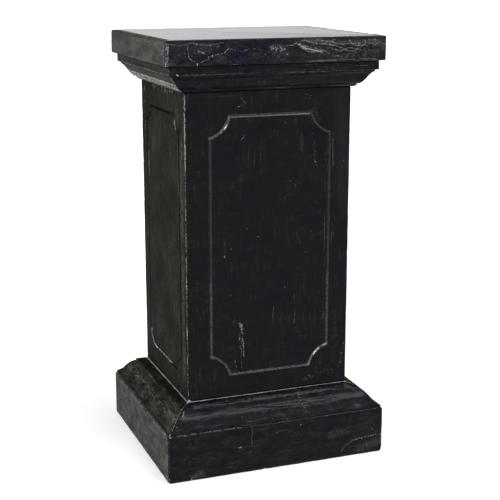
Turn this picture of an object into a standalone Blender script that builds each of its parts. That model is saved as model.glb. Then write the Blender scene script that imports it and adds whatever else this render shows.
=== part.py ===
"""A black marble pedestal column: five stone pieces stacked on one another.

Metres, +Z up. The origin is the middle of the underside, and the front looks along -Y.
From the floor up: plinth block, base moulding, shaft with a cut panel line on each
face, cornice moulding and top slab. A moulding's profile is given by how far each
point stands out from the shaft's face and how high it is.
"""

import math

import bmesh
import bpy
from mathutils import Matrix

# Shaft, the square-cut block in the middle
SHAFT_WIDTH = 0.362
SHAFT_DEPTH = 0.308
SHAFT_HEIGHT = 0.6437
SHAFT_EASE = 0.0012

# Panel line cut into each face of the shaft, with a scoop taken out of each corner.
# It stands nearer the upright arrises on the two narrower sides, and its scoops are smaller.
PANEL_MARGIN = 0.050
PANEL_SCOOP = 0.042
SIDE_PANEL_MARGIN = 0.039
SIDE_PANEL_SCOOP = 0.033
SCOOP_TURN = 64
GROOVE_WIDTH = 0.0054
GROOVE_PROUD = 0.0004
SCOOP_STEPS = 10

# Plinth block under it, and the slab on top
PLINTH_OVERHANG = 0.063
PLINTH_HEIGHT = 0.104
PLINTH_EASE = 0.004
SLAB_OVERHANG = 0.053
SLAB_HEIGHT = 0.0502
SLAB_EASE = 0.003
EASE_SEGMENTS = 3

# Base moulding: a weathered ledge, a short drop and a double curve down to the plinth
BASE_HEIGHT = 0.0457
BASE_SET_BACK = 0.0008
BASE_TOE = 0.0025
BASE_LEDGE = 0.0220
BASE_LEDGE_FALL = 0.0065
BASE_DROP = 0.0050
BASE_QUIRK = 0.0030

# Cornice moulding: a small roll, a double curve, a riser and a flat fillet
CORNICE_HEIGHT = 0.0552
CORNICE_LIP = 0.0104
FILLET_HEIGHT = 0.0185
FILLET_STEP = 0.0060
FILLET_EASE = 0.0020
RISER_HEIGHT = 0.0035
ROLL_REACH = 0.0098
ROLL_HEIGHT = 0.0070
ROLL_QUIRK = 0.0035

# How much steeper a double curve is in its middle than on average, and its fineness
CURVE_SWAY = 0.42
CURVE_STEPS = 14
ROUND_STEPS = 6

# Clearance in the bed between two stones
BED = 0.0003

COLLECTION = "marble column"

PLINTH_TOP = PLINTH_HEIGHT
BASE_BOTTOM = PLINTH_TOP + BED
BASE_TOP = BASE_BOTTOM + BASE_HEIGHT
SHAFT_BOTTOM = BASE_TOP + BED
SHAFT_TOP = SHAFT_BOTTOM + SHAFT_HEIGHT
CORNICE_BOTTOM = SHAFT_TOP + BED
CORNICE_TOP = CORNICE_BOTTOM + CORNICE_HEIGHT
SLAB_BOTTOM = CORNICE_TOP + BED


def clear_scene():
    for obj in list(bpy.data.objects):
        bpy.data.objects.remove(obj, do_unlink=True)


def new_collection(name, hidden=False):
    collection = bpy.data.collections.new(name)
    bpy.context.scene.collection.children.link(collection)
    collection.hide_render = hidden
    return collection


def to_linear(level):
    """One sRGB channel, 0 to 1, as linear light."""
    return level / 12.92 if level <= 0.04045 else ((level + 0.055) / 1.055) ** 2.4


def marble(name, colour, roughness):
    """A polished or honed black marble, its colour written as sRGB hex."""
    material = bpy.data.materials.new(name)
    material.use_nodes = True
    shader = material.node_tree.nodes["Principled BSDF"]
    channels = [to_linear(int(colour[i : i + 2], 16) / 255) for i in (1, 3, 5)]
    shader.inputs["Base Color"].default_value = (*channels, 1.0)
    shader.inputs["Roughness"].default_value = roughness
    shader.inputs["Metallic"].default_value = 0.0
    material.diffuse_color = (*channels, 1.0)
    return material


def add_object(name, mesh, collection, material=None):
    obj = bpy.data.objects.new(name, mesh)
    collection.objects.link(obj)
    if material is not None:
        mesh.materials.append(material)
    return obj


def double_curve(start, end):
    """Points from start to end, gentle at both ends and steepest halfway.

    The reach runs evenly, and the height leads and lags it by a sine.
    """
    points = []
    for step in range(CURVE_STEPS + 1):
        share = step / CURVE_STEPS
        rise = share - CURVE_SWAY * math.sin(2 * math.pi * share) / (2 * math.pi)
        points.append(
            (
                start[0] + (end[0] - start[0]) * share,
                start[1] + (end[1] - start[1]) * rise,
            )
        )
    return points


def quarter_round(centre, reach, height, first, last):
    """Points on a quarter of an ellipse, from one angle in degrees to another."""
    points = []
    for step in range(ROUND_STEPS + 1):
        angle = math.radians(first + (last - first) * step / ROUND_STEPS)
        points.append(
            (
                centre[0] + reach * math.cos(angle),
                centre[1] + height * math.sin(angle),
            )
        )
    return points


def base_profile():
    """The base moulding from its toe on the plinth up to the shaft."""
    toe = PLINTH_OVERHANG - BASE_SET_BACK
    ledge_edge = BASE_TOP - BASE_LEDGE_FALL
    drop_foot = ledge_edge - BASE_DROP
    profile = [(toe, BASE_BOTTOM)]
    profile += double_curve(
        (toe, BASE_BOTTOM + BASE_TOE), (BASE_LEDGE + BASE_QUIRK, drop_foot)
    )
    profile += [(BASE_LEDGE, drop_foot + BASE_QUIRK / 4), (BASE_LEDGE, ledge_edge)]
    profile += [(0.0, BASE_TOP)]
    return profile


def cornice_profile():
    """The cornice moulding from the shaft's top up to the slab."""
    fillet = SLAB_OVERHANG - CORNICE_LIP
    fillet_foot = CORNICE_TOP - FILLET_HEIGHT
    riser = fillet - FILLET_STEP
    riser_foot = fillet_foot - RISER_HEIGHT
    roll_top = CORNICE_BOTTOM + ROLL_HEIGHT
    profile = quarter_round((0.0, roll_top), ROLL_REACH, ROLL_HEIGHT, -90, 0)
    profile += double_curve((ROLL_REACH + ROLL_QUIRK, roll_top), (riser, riser_foot))
    profile += [(riser, fillet_foot)]
    profile += quarter_round(
        (fillet - FILLET_EASE, fillet_foot + FILLET_EASE), FILLET_EASE, FILLET_EASE, -90, 0
    )
    profile += [(fillet, CORNICE_TOP)]
    return profile


def moulding(name, profile, collection, material):
    """A rectangular stone drawn up through its profile, one level after another."""
    mesh = bpy.data.meshes.new(name)
    bm = bmesh.new()
    corners = [(-1, -1), (1, -1), (1, 1), (-1, 1)]

    def place(vertices, level):
        reach, height = level
        for vertex in vertices:
            vertex.co.x = math.copysign(SHAFT_WIDTH / 2 + reach, vertex.co.x)
            vertex.co.y = math.copysign(SHAFT_DEPTH / 2 + reach, vertex.co.y)
            vertex.co.z = height

    ring = [bm.verts.new((side_x, side_y, 0.0)) for side_x, side_y in corners]
    edges = [bm.edges.new((ring[i - 1], ring[i])) for i in range(len(ring))]
    place(ring, profile[0])
    for level in profile[1:]:
        drawn = bmesh.ops.extrude_edge_only(bm, edges=edges)["geom"]
        edges = [part for part in drawn if isinstance(part, bmesh.types.BMEdge)]
        place([part for part in drawn if isinstance(part, bmesh.types.BMVert)], level)
    bmesh.ops.holes_fill(bm, edges=bm.edges, sides=len(corners))
    bmesh.ops.recalc_face_normals(bm, faces=bm.faces)
    bm.to_mesh(mesh)
    bm.free()
    return add_object(name, mesh, collection, material)


def block(name, width, depth, bottom, height, ease, collection, material):
    """A squared block with eased arrises."""
    mesh = bpy.data.meshes.new(name)
    bm = bmesh.new()
    bmesh.ops.create_cube(
        bm,
        size=1.0,
        matrix=Matrix.Translation((0.0, 0.0, bottom + height / 2))
        @ Matrix.Diagonal((width, depth, height, 1.0)),
    )
    bm.to_mesh(mesh)
    bm.free()
    obj = add_object(name, mesh, collection, material)
    rounding = obj.modifiers.new("eased arrises", "BEVEL")
    rounding.width = ease
    rounding.segments = EASE_SEGMENTS
    rounding.limit_method = "ANGLE"
    return obj


def panel_outline(width, height, scoop):
    """A rectangle about the origin whose corners are scooped out by arcs.

    Each arc turns through SCOOP_TURN degrees, so its centre lies outside the corner.
    """
    half_width = width / 2
    half_height = height / 2
    half_turn = math.radians(SCOOP_TURN / 2)
    radius = scoop / (math.sqrt(2) * math.sin(half_turn))
    outside = (radius * math.cos(half_turn) - scoop / math.sqrt(2)) / math.sqrt(2)
    corners = [
        (half_width + outside, half_height + outside, 225),
        (-half_width - outside, half_height + outside, 315),
        (-half_width - outside, -half_height - outside, 45),
        (half_width + outside, -half_height - outside, 135),
    ]
    points = []
    for centre_x, centre_y, middle in corners:
        for step in range(SCOOP_STEPS + 1):
            angle = math.radians(middle + SCOOP_TURN * (0.5 - step / SCOOP_STEPS))
            points.append(
                (
                    centre_x + radius * math.cos(angle),
                    centre_y + radius * math.sin(angle),
                )
            )
    return points


def groove_cutter(name, outline, place, collection):
    """A four-sided bar along the panel line, its lower half below the stone's face.

    Its widest part stands a little proud of the face, so no corner lies in that plane.
    """
    curve = bpy.data.curves.new(name, "CURVE")
    curve.dimensions = "2D"
    curve.fill_mode = "NONE"
    curve.bevel_depth = GROOVE_WIDTH / 2 + GROOVE_PROUD
    curve.bevel_resolution = 0
    spline = curve.splines.new("POLY")
    spline.points.add(len(outline) - 1)
    for point, (x, y) in zip(spline.points, outline):
        point.co = (x, y, 0.0, 1.0)
    spline.use_cyclic_u = True
    path = add_object(name + " path", curve, collection)
    graph = bpy.context.evaluated_depsgraph_get()
    mesh = bpy.data.meshes.new_from_object(path.evaluated_get(graph))
    bpy.data.objects.remove(path, do_unlink=True)
    bm = bmesh.new()
    bm.from_mesh(mesh)
    bmesh.ops.remove_doubles(bm, verts=bm.verts, dist=0.00001)
    bmesh.ops.transform(bm, matrix=place, verts=bm.verts)
    bmesh.ops.recalc_face_normals(bm, faces=bm.faces)
    bm.to_mesh(mesh)
    bm.free()
    cutter = add_object(name, mesh, collection)
    cutter.display_type = "WIRE"
    cutter.hide_render = True
    return cutter


def cut_panels(shaft, cutters):
    """The panel line on all four faces, each at the shaft's middle height."""
    middle = Matrix.Translation((0.0, 0.0, SHAFT_BOTTOM + SHAFT_HEIGHT / 2))
    upright = Matrix.Rotation(math.pi / 2, 4, "X")
    height = SHAFT_HEIGHT - 2 * PANEL_MARGIN
    broad = panel_outline(SHAFT_WIDTH - 2 * PANEL_MARGIN, height, PANEL_SCOOP)
    narrow = panel_outline(SHAFT_DEPTH - 2 * SIDE_PANEL_MARGIN, height, SIDE_PANEL_SCOOP)
    faces = [
        ("front", 0, broad, SHAFT_DEPTH),
        ("right", 90, narrow, SHAFT_WIDTH),
        ("back", 180, broad, SHAFT_DEPTH),
        ("left", 270, narrow, SHAFT_WIDTH),
    ]
    for side, turn, outline, distance in faces:
        place = (
            middle
            @ Matrix.Rotation(math.radians(turn), 4, "Z")
            @ Matrix.Translation((0.0, -distance / 2 - GROOVE_PROUD, 0.0))
            @ upright
        )
        cutter = groove_cutter("panel line " + side, outline, place, cutters)
        cut = shaft.modifiers.new("panel line " + side, "BOOLEAN")
        cut.operation = "DIFFERENCE"
        cut.solver = "EXACT"
        cut.object = cutter


def build():
    clear_scene()
    column = new_collection(COLLECTION)
    cutters = new_collection(COLLECTION + " cutters", hidden=True)
    block(
        "plinth_block",
        SHAFT_WIDTH + 2 * PLINTH_OVERHANG,
        SHAFT_DEPTH + 2 * PLINTH_OVERHANG,
        0.0,
        PLINTH_HEIGHT,
        PLINTH_EASE,
        column,
        marble("plinth marble", "#232224", 0.38),
    )
    moulding(
        "base_moulding",
        base_profile(),
        column,
        marble("base moulding marble", "#242429", 0.30),
    )
    shaft = block(
        "shaft",
        SHAFT_WIDTH,
        SHAFT_DEPTH,
        SHAFT_BOTTOM,
        SHAFT_HEIGHT,
        SHAFT_EASE,
        column,
        marble("shaft marble", "#1e1d20", 0.28),
    )
    cut_panels(shaft, cutters)
    moulding(
        "cornice_moulding",
        cornice_profile(),
        column,
        marble("cornice marble", "#1f1e20", 0.30),
    )
    block(
        "top_slab",
        SHAFT_WIDTH + 2 * SLAB_OVERHANG,
        SHAFT_DEPTH + 2 * SLAB_OVERHANG,
        SLAB_BOTTOM,
        SLAB_HEIGHT,
        SLAB_EASE,
        column,
        marble("slab marble", "#222226", 0.26),
    )


build()
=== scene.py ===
import math
from functools import partial

import bpy
import numpy as np
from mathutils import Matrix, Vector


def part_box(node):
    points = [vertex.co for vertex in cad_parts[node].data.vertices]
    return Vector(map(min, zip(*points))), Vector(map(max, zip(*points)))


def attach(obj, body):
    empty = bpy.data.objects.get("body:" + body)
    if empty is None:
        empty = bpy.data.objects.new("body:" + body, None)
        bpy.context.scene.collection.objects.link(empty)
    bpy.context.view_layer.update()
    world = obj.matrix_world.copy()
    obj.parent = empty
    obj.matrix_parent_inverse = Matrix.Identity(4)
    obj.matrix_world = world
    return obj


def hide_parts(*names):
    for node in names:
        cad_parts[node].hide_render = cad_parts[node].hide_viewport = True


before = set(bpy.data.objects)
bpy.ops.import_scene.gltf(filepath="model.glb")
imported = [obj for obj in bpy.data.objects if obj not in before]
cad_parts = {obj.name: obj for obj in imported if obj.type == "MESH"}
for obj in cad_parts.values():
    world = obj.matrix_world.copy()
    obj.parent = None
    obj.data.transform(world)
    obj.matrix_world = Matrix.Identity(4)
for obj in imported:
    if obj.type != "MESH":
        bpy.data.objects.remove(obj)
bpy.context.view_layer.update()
print("frame loaded:", ", ".join(sorted(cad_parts)))


# sRGB hex to linear light: c / 12.92 near black, otherwise ((c + 0.055) / 1.055) to the power 2.4
def toLinear(hexColour):
    srgb = np.array([int(hexColour[i:i + 2], 16) for i in (1, 3, 5)]) / 255
    linear = np.where(srgb <= 0.04045, srgb / 12.92, ((srgb + 0.055) / 1.055) ** 2.4)
    return (*linear.tolist(), 1.0)


# 0 below low, 1 above high, and 3t^2 - 2t^3 between them
def smoothStep(low, high, value):
    share = np.clip((value - low) / (high - low), 0, 1)
    return share * share * (3 - 2 * share)


# mean of sine waves that run in seeded directions, each near the given wavelength; about -1 to 1
def ripple(points, wavelength, seed):
    count, gain = 14, 2.4
    draw = np.random.default_rng(seed)
    waves = draw.normal(size=(count, 3))
    lengths = wavelength * draw.uniform(0.7, 1.5, count)
    waves *= (2 * math.pi / lengths / np.linalg.norm(waves, axis=1))[:, None]
    phases = draw.uniform(0, 2 * math.pi, count)
    return np.sin(points @ waves.T + phases).mean(axis=-1) * gain


# each grid point's normal: the step round the ring crossed with the step up the profile, over its length
def gridNormals(grid):
    around = np.roll(grid, -1, axis=1) - np.roll(grid, 1, axis=1)
    upward = np.gradient(grid, axis=0)
    normal = np.cross(around, upward)
    return normal / np.maximum(np.linalg.norm(normal, axis=-1, keepdims=True), 1e-12)


# one piece from its points, faces, each face's material and each point's wear, on the CAD body it
# stands for
def addPiece(name, node, points, faces, slots, worn, materials):
    mesh = bpy.data.meshes.new(name)
    mesh.from_pydata(points.reshape(-1, 3), [], faces)
    layer = mesh.attributes.new("worn", "FLOAT", "POINT")
    layer.data.foreach_set("value", worn.astype(np.float32).ravel())
    for material in materials:
        mesh.materials.append(material)
    mesh.polygons.foreach_set("material_index", slots.astype(np.int32))
    mesh.shade_smooth()
    piece = bpy.data.objects.new(name, mesh)
    bpy.context.scene.collection.objects.link(piece)
    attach(piece, "root")
    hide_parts(node)
    print("piece", name, "has", len(mesh.polygons), "faces")


# quads between each ring and the next, the last point of a ring joined to its first, and a flat
# face over each end
def ringFaces(levels, around):
    first = (np.arange(levels - 1)[:, None] * around + np.arange(around)[None, :]).ravel()
    beside = (np.arange(levels - 1)[:, None] * around + (np.arange(around)[None, :] + 1) % around).ravel()
    quads = np.stack([first, beside, beside + around, first + around], axis=1).tolist()
    under = list(range(around))[::-1]
    over = list(range((levels - 1) * around, levels * around))
    return quads + [under, over]


# a rectangle with rounded corners at many levels: straight sides between the corner centres, then a
# quarter circle, turned by a right angle four times. Also gives how far each point is from the
# middle of its nearest corner, measured along the outline.
def roundedOutline(halfX, halfY, radius, sideSteps, cornerSteps):
    run = np.linspace(-1, 1, sideSteps + 1)
    turn = np.linspace(0, math.pi / 2, cornerSteps + 1)[1:-1]
    centreX = np.concatenate([run, np.ones_like(turn)])
    centreY = -np.ones_like(centreX)
    arcX = np.concatenate([run * 0, np.sin(turn)])
    arcY = np.concatenate([run * 0 - 1, -np.cos(turn)])
    spare = np.concatenate([1 - np.abs(run), turn * 0])
    bend = np.concatenate([run * 0 + math.pi / 4, np.abs(turn - math.pi / 4)])
    outline, toCorner = [], []
    for quarter in range(4):
        side = (halfX, halfY)[quarter % 2] - radius
        x = (halfX - radius)[:, None] * centreX + radius[:, None] * arcX
        y = (halfY - radius)[:, None] * centreY + radius[:, None] * arcY
        outline.append(np.stack([x, y], axis=-1))
        toCorner.append(side[:, None] * spare + radius[:, None] * bend)
        centreX, centreY = -centreY, centreX
        arcX, arcY = -arcY, arcX
    return np.concatenate(outline, axis=1), np.concatenate(toCorner, axis=1)


# points on an arc: the centre plus the radius times cosine and sine of angles from first to last, in degrees
def arc(centre, radius, first, last, steps):
    angle = np.radians(np.linspace(first, last, steps + 1))
    return np.stack([centre[0] + radius * np.cos(angle), centre[1] + radius * np.sin(angle)], axis=1)


# points from start to end: the reach runs evenly by t, and the height by t - sway sin(2 pi t) / (2 pi)
def doubleCurve(start, end, sway, steps):
    share = np.linspace(0, 1, steps + 1)
    rise = share - sway * np.sin(2 * math.pi * share) / (2 * math.pi)
    return np.stack([start[0] + (end[0] - start[0]) * share, start[1] + (end[1] - start[1]) * rise], axis=1)


# how far each point of a profile lies from the nearest given arris, as the length of profile between them
def alongProfile(profile, arrises):
    steps = np.linalg.norm(np.diff(profile, axis=0), axis=1)
    length = np.concatenate([[0], np.cumsum(steps)])
    at = [length[np.argmin(np.linalg.norm(profile - np.array(a), axis=1))] for a in arrises]
    return np.abs(length[:, None] - np.array(at)[None, :]).min(axis=1)


# bites out of the arrises: at seeded places on an arris, points sink by depth times (1 - (d / radius)^2)
def chipDepth(points, toArris, look):
    onEdge = 0.0006
    draw = np.random.default_rng(look["seed"] + 1)
    flat = points.reshape(-1, 3)
    onArris = np.flatnonzero(toArris.ravel() < onEdge)
    centres = flat[draw.choice(onArris, look["chips"])]
    radii = look["chipSize"] * draw.uniform(0.3, 1.0, look["chips"]) ** 1.5
    depths = look["chipDepth"] * draw.uniform(0.3, 1.0, look["chips"])
    sunk = np.zeros(len(flat))
    near = toArris.ravel() < look["chipSize"]
    for centre, reach, bite in zip(centres, radii, depths):
        distance = np.linalg.norm(flat[near] - centre, axis=1)
        sunk[near] = np.maximum(sunk[near], bite * np.clip(1 - (distance / reach) ** 2, 0, 1))
    return sunk.reshape(toArris.shape)


# adds one node, whose operation can follow its kind, sets its options and gives each input a value or a
# link. Gives back one output, or all of them where output is None.
def addNode(tree, kind, inputs, output=0, **settings):
    kind, _, operation = kind.partition(" ")
    made = tree.nodes.new("ShaderNode" + kind)
    if operation:
        made.operation = operation
    for name, value in settings.items():
        setattr(made, name, value)
    for key, value in inputs.items():
        if isinstance(value, bpy.types.NodeSocket):
            tree.links.new(value, made.inputs[key])
        else:
            made.inputs[key].default_value = value
    return made.outputs if output is None else made.outputs[output]


# a pattern's Scale value for features of this size: 1000 over the size in millimetres
def perMetre(millimetres):
    return 1000.0 / millimetres


# distance from the point to one straight stretch: the offset from its start, less the part of the
# stretch that the offset covers, which is held between none and all of it
def stretchDistance(add, spot, start, end):
    start, end = (np.array((x, 0, z)) / 1000 for x, z in (start, end))
    along = end - start
    part = along / (along @ along)
    offset = add("VectorMath SUBTRACT", {0: spot, 1: start.tolist()})
    share = add("VectorMath DOT_PRODUCT", {0: offset, 1: part.tolist()}, "Value")
    held = add("Clamp", {0: share})
    foot = add("VectorMath SCALE", {0: along.tolist(), "Scale": held})
    return add("VectorMath DISTANCE", {0: offset, 1: foot}, "Value")


# how marks are drawn: they wander by up to half of swayReach (metres) over swaySize (millimetres), fade
# from fullTo to goneAt half widths, break off over breakBlur of noise, and lie on the side past sideFrom
markLook = {
    "swaySize": 7, "swayReach": 0.007, "fullTo": 0.35, "goneAt": 1.5, "breakBlur": 0.12,
    "sideFull": -0.13, "sideFrom": -0.12,
}


# marks on the front or on the left, each a chain of straight stretches frayed by noise: a mark shows
# where the distance to its chain is less than its half width, and is broken where the grain is low,
# or where the rubbing strokes are low if it is streaky. Its strength is how much it covers.
def markMask(add, spot, grain, stroke, marks, face, look):
    split = add("SeparateXYZ", {0: spot}, None)
    level, depth = (split["X"], split["Y"]) if face == "front" else (split["Y"], split["X"])
    upright = add("CombineXYZ", {"X": level, "Z": split["Z"]})
    swayScale = perMetre(look["swaySize"])
    sway = add("TexNoise", {"Vector": spot, "Scale": swayScale, "Detail": 4.0}, "Color")
    sway = add("VectorMath SUBTRACT", {0: sway, 1: (0.5, 0.5, 0.5)})
    sway = add("VectorMath MULTIPLY", {0: sway, 1: (look["swayReach"], 0, look["swayReach"])})
    place = add("VectorMath ADD", {0: upright, 1: sway})
    total = None
    for made in marks:
        nearest = None
        for start, end in zip(made["chain"][:-1], made["chain"][1:]):
            distance = stretchDistance(add, place, start, end)
            if nearest is not None:
                distance = add("Math MINIMUM", {0: nearest, 1: distance})
            nearest = distance
        reach = made["width"] / 2000
        fade = {0: nearest, 1: look["fullTo"] * reach, 2: look["goneAt"] * reach, 3: 1.0, 4: 0.0}
        edge = add("MapRange", fade)
        pattern = stroke if made["kind"] == "streaky" else grain
        gap = made["broken"]
        breaks = {0: pattern, 1: gap, 2: gap + look["breakBlur"], 4: made["strength"]}
        whole = add("MapRange", breaks)
        shown = add("Math MULTIPLY", {0: edge, 1: whole})
        if total is not None:
            shown = add("Math MAXIMUM", {0: total, 1: shown})
        total = shown
    side = add("MapRange", {0: depth, 1: look["sideFull"], 2: look["sideFrom"], 3: 1.0, 4: 0.0})
    return add("Math MULTIPLY", {0: total, 1: side})


# inputs 1 and 2 of each pattern's map range: the level at which the pattern sets in, and where it is full
bands = {
    "cloud": {1: 0.38, 2: 0.66}, "stain": {1: 0.50, 2: 0.66}, "leafLine": {1: 0.0, 2: 0.035},
    "veil": {1: 0.42, 2: 0.60}, "haze": {1: 0.50, 2: 0.72}, "speckCore": {1: 0.04, 2: 0.10},
    "rareSpeck": {1: 0.82, 2: 1.0}, "scratch": {1: 0.60, 2: 0.74}, "scratchPatch": {1: 0.40, 2: 0.62},
    "fray": {1: 0.25, 2: 0.75}, "bruise": {1: 0.0, 2: 0.7}, "uneven": {1: 0.3, 2: 0.7},
    "depth": {1: -0.2, 2: 0.2},
}


# Black limestone marble: nearly black with dim clouds, feathery grey-green foliation, sparse calcite
# specks, rubbing scratches, and white bruises along worn arrises. Polished faces mirror softly; sides
# that were only honed carry a dull film.
def blackMarble(name, look, marks, face="front"):
    material = bpy.data.materials.new(name)
    material.use_nodes = True
    tree = material.node_tree
    add = partial(addNode, tree)
    shader = tree.nodes["Principled BSDF"]
    spot = add("TexCoord", {}, "Object")

    # one noise for each scale of detail; the clouds can lean to one colour on the right
    parts = add("SeparateXYZ", {0: spot}, None)
    size = perMetre(look["cloudSize"])
    cloud = add("TexNoise", {"Vector": spot, "Scale": size, "Detail": 3.0}, None)
    drawn = add("VectorMath MULTIPLY", {0: spot, 1: look["filmRun"]})
    size = perMetre(look["patchSize"])
    patch = add("TexNoise", {"Vector": drawn, "Scale": size, "Detail": 6.0, "Roughness": 0.6})
    gritty = add("VectorMath MULTIPLY", {0: spot, 1: look["grainRun"]})
    size = perMetre(look["grainSize"])
    grain = add("TexNoise", {"Vector": gritty, "Scale": size, "Detail": 3.0, "Roughness": 0.65})
    leaning = add("Math MULTIPLY_ADD", {0: parts["X"], 1: look["cloudLean"], 2: cloud[0]})
    clouds = add("MapRange", {0: leaning, **bands["cloud"]})

    # the film: patchy at two scales, thinner towards the back by its lean, and browner stains in it
    blotch = add("Math MULTIPLY_ADD", {0: grain, 1: look["grainShare"], 2: patch})
    middle, spread = 0.5 + 0.5 * look["grainShare"], look["filmSpread"]
    filmed = add("MapRange", {0: blotch, 1: middle - spread, 2: middle + spread, 4: 1.0})
    share = look["filmShare"]
    thick = add("MapRange", {0: parts["Y"], **bands["depth"], 3: share, 4: share * (1 - look["filmLean"])})
    filmed = add("Math MULTIPLY", {0: filmed, 1: thick})
    tone = add("SeparateColor", {0: cloud["Color"]}, 1)
    stained = add("MapRange", {0: tone, **bands["stain"], 4: look["stainShare"]})

    # foliation: level lines of a noise on coordinates that are turned to the bed, drawn out along it
    # and bent
    turned = {0: spot, "Rotation": (0, math.radians(look["bedTurn"]), 0), "Scale": look["bedLength"]}
    bed = add("Mapping", turned, vector_type="TEXTURE")
    bend = add("VectorMath SCALE", {0: cloud["Color"], "Scale": look["bend"]})
    bent = add("VectorMath ADD", {0: bed, 1: bend})
    size = perMetre(look["bedGap"])
    leaf = add("TexNoise", {"Vector": bent, "Scale": size, "Detail": 6.0, "Roughness": 0.6})
    level = add("Math SUBTRACT", {0: leaf, 1: 0.5})
    level = add("Math ABSOLUTE", {0: level})
    line = add("MapRange", {0: level, **bands["leafLine"], 3: 1.0, 4: 0.0})
    where = add("MapRange", {0: patch, **bands["veil"], 4: look["veilShare"]})
    veiled = add("Math MULTIPLY", {0: line, 1: where})
    haze = add("MapRange", {0: leaf, **bands["haze"], 4: look["hazeShare"]})
    veiled = add("Math MAXIMUM", {0: veiled, 1: haze})

    # specks: the cores of small cells, kept only where the cell's own random value is high
    cell = add("TexVoronoi", {"Vector": spot, "Scale": perMetre(look["speckGap"])}, None)
    core = add("MapRange", {0: cell["Distance"], **bands["speckCore"], 3: 1.0, 4: 0.0})
    chosen = add("SeparateColor", {0: cell["Color"]})
    rare = add("MapRange", {0: chosen, **bands["rareSpeck"], 4: look["speckShare"]})
    pale = add("Math MULTIPLY", {0: core, 1: rare})

    # rubbing scratches: a noise drawn out along the strokes, only its peaks
    rubbed = add("VectorMath MULTIPLY", {0: spot, 1: look["strokeRun"]})
    size = perMetre(look["strokeSize"])
    stroke = add("TexNoise", {"Vector": rubbed, "Scale": size, "Detail": 2.0})
    scratch = add("MapRange", {0: stroke, **bands["scratch"], 4: look["scratches"]})
    faded = add("MapRange", {0: patch, **bands["scratchPatch"]})
    scratch = add("Math MULTIPLY", {0: scratch, 1: faded})
    pale = add("Math MAXIMUM", {0: pale, 1: scratch})

    # this face's own marks: the pale ones add to the specks, and the dark ones are a layer of their own in
    # the stain colour: painted shade lines under overhangs, in creases and at feet, and grime
    layers = [(filmed, "film"), (stained, "stain"), (veiled, "veil")]
    pales = [made for made in marks.values() if made["kind"] != "shadeAndGrime"]
    if pales:
        drawnMarks = markMask(add, spot, grain, stroke, pales, face, markLook)
        pale = add("Math MAXIMUM", {0: pale, 1: drawnMarks})
    shadeAndGrimeMarks = [made for made in marks.values() if made["kind"] == "shadeAndGrime"]
    if shadeAndGrimeMarks:
        layers.append((markMask(add, spot, grain, stroke, shadeAndGrimeMarks, face, markLook), "stain"))

    # bruises: "worn" is how far, in millimetres, a point lies inside the wear of its nearest arris
    worn = add("Attribute", {}, "Fac", attribute_name="worn")
    fray = add("MapRange", {0: grain, **bands["fray"], 3: -look["fray"], 4: look["fray"]})
    frayed = add("Math ADD", {0: worn, 1: fray})
    bruised = add("MapRange", {0: frayed, **bands["bruise"], 4: look["bruiseShare"]})

    # every layer covers the ones before it by its share
    ground = {0: clouds, 6: toLinear(look["ground"]), 7: toLinear(look["cloud"])}
    colour = add("Mix", ground, 2, data_type="RGBA")
    # the pale marks take this pale colour: most are veins, specks, scratches and wear, and some are painted
    # highlights and reflections
    for share, key in [*layers, (pale, "veinAndHighlight"), (bruised, "bruise")]:
        colour = add("Mix", {0: share, 6: colour, 7: toLinear(look[key])}, 2, data_type="RGBA")
    tree.links.new(colour, shader.inputs["Base Color"])

    # roughness: a little uneven in patches, and dull on bruises
    uneven = add("MapRange", {0: patch, **bands["uneven"], 3: -look["uneven"], 4: look["uneven"]})
    rough = add("Math ADD", {0: uneven, 1: look["roughness"]})
    rough = add("Math MAXIMUM", {0: rough, 1: bruised}, use_clamp=True)
    tree.links.new(rough, shader.inputs["Roughness"])
    bump = add("Bump", {"Height": blotch, "Strength": look["bump"], "Distance": 0.001})
    tree.links.new(bump, shader.inputs["Normal"])
    shader.inputs["Specular IOR Level"].default_value = look["specular"]
    shader.inputs["IOR"].default_value = look["ior"]
    print("material", name, "has", len(tree.nodes), "nodes")
    return material


# what a user would change of the stone as a whole: colours, shares from 0 to 1, sizes in millimetres
polished = {
    "ground": "#0b080f", "cloud": "#0c0e0b", "cloudSize": 70, "cloudLean": 0.0,
    "grainSize": 3.2, "grainRun": (1.0, 1.0, 1.0),
    "film": "#181816", "filmShare": 0.15, "filmSpread": 0.25, "filmLean": 0.0, "filmRun": (0.4, 0.4, 1.0),
    "patchSize": 18, "grainShare": 0.5, "stain": "#0c0a0e", "stainShare": 0.3,
    "veil": "#5c5d5a", "veilShare": 0.10, "hazeShare": 0.02,
    "bedTurn": 0.0, "bedLength": (5.5, 5.5, 1.0), "bedGap": 16, "bend": 0.10,
    "veinAndHighlight": "#b1afad", "bruise": "#b4b1b2", "bruiseShare": 0.75, "fray": 0.9,
    "speckGap": 17, "speckShare": 0.8, "scratches": 0.03, "strokeSize": 2.6, "strokeRun": (0.045, 0.045, 1.0),
    "roughness": 0.22, "uneven": 0.05, "specular": 0.055, "ior": 1.5, "bump": 0.02,
}

# sides of the plinth and the slab: honed, with a gritty grey film that lightens them. They are seen from
# far to the side, so their grain is drawn out along the depth.
honed = dict(
    polished, ground="#151412", cloud="#1b1a18", film="#615e5a", filmShare=0.8, filmSpread=0.15,
    filmLean=0.5, filmRun=(1.0, 0.5, 1.0), patchSize=22, grainShare=1.0, grainSize=6.0,
    grainRun=(1.0, 0.45, 1.0), stain="#1a1610", stainShare=0.35, veilShare=0.10, hazeShare=0.05,
    scratches=0.08, roughness=0.5, specular=0.02, bump=0.2, bedLength=(1.0, 2.0, 1.4),
)

# sides of the shaft and the mouldings: rougher and browner
dulled = dict(
    honed, ground="#100f0d", cloud="#15130f", film="#2f2c27", filmShare=0.9, filmSpread=0.30, filmLean=0.3,
    filmRun=(1.0, 0.5, 0.45), patchSize=45, grainShare=0.8, grainSize=4.0, grainRun=(1.0, 0.4, 0.5),
    stain="#100d09", stainShare=0.3, roughness=0.75, specular=0.012, scratches=0.14,
    strokeRun=(1.0, 1.0, 0.045), bedLength=(1.0, 1.0, 3.0),
)


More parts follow.
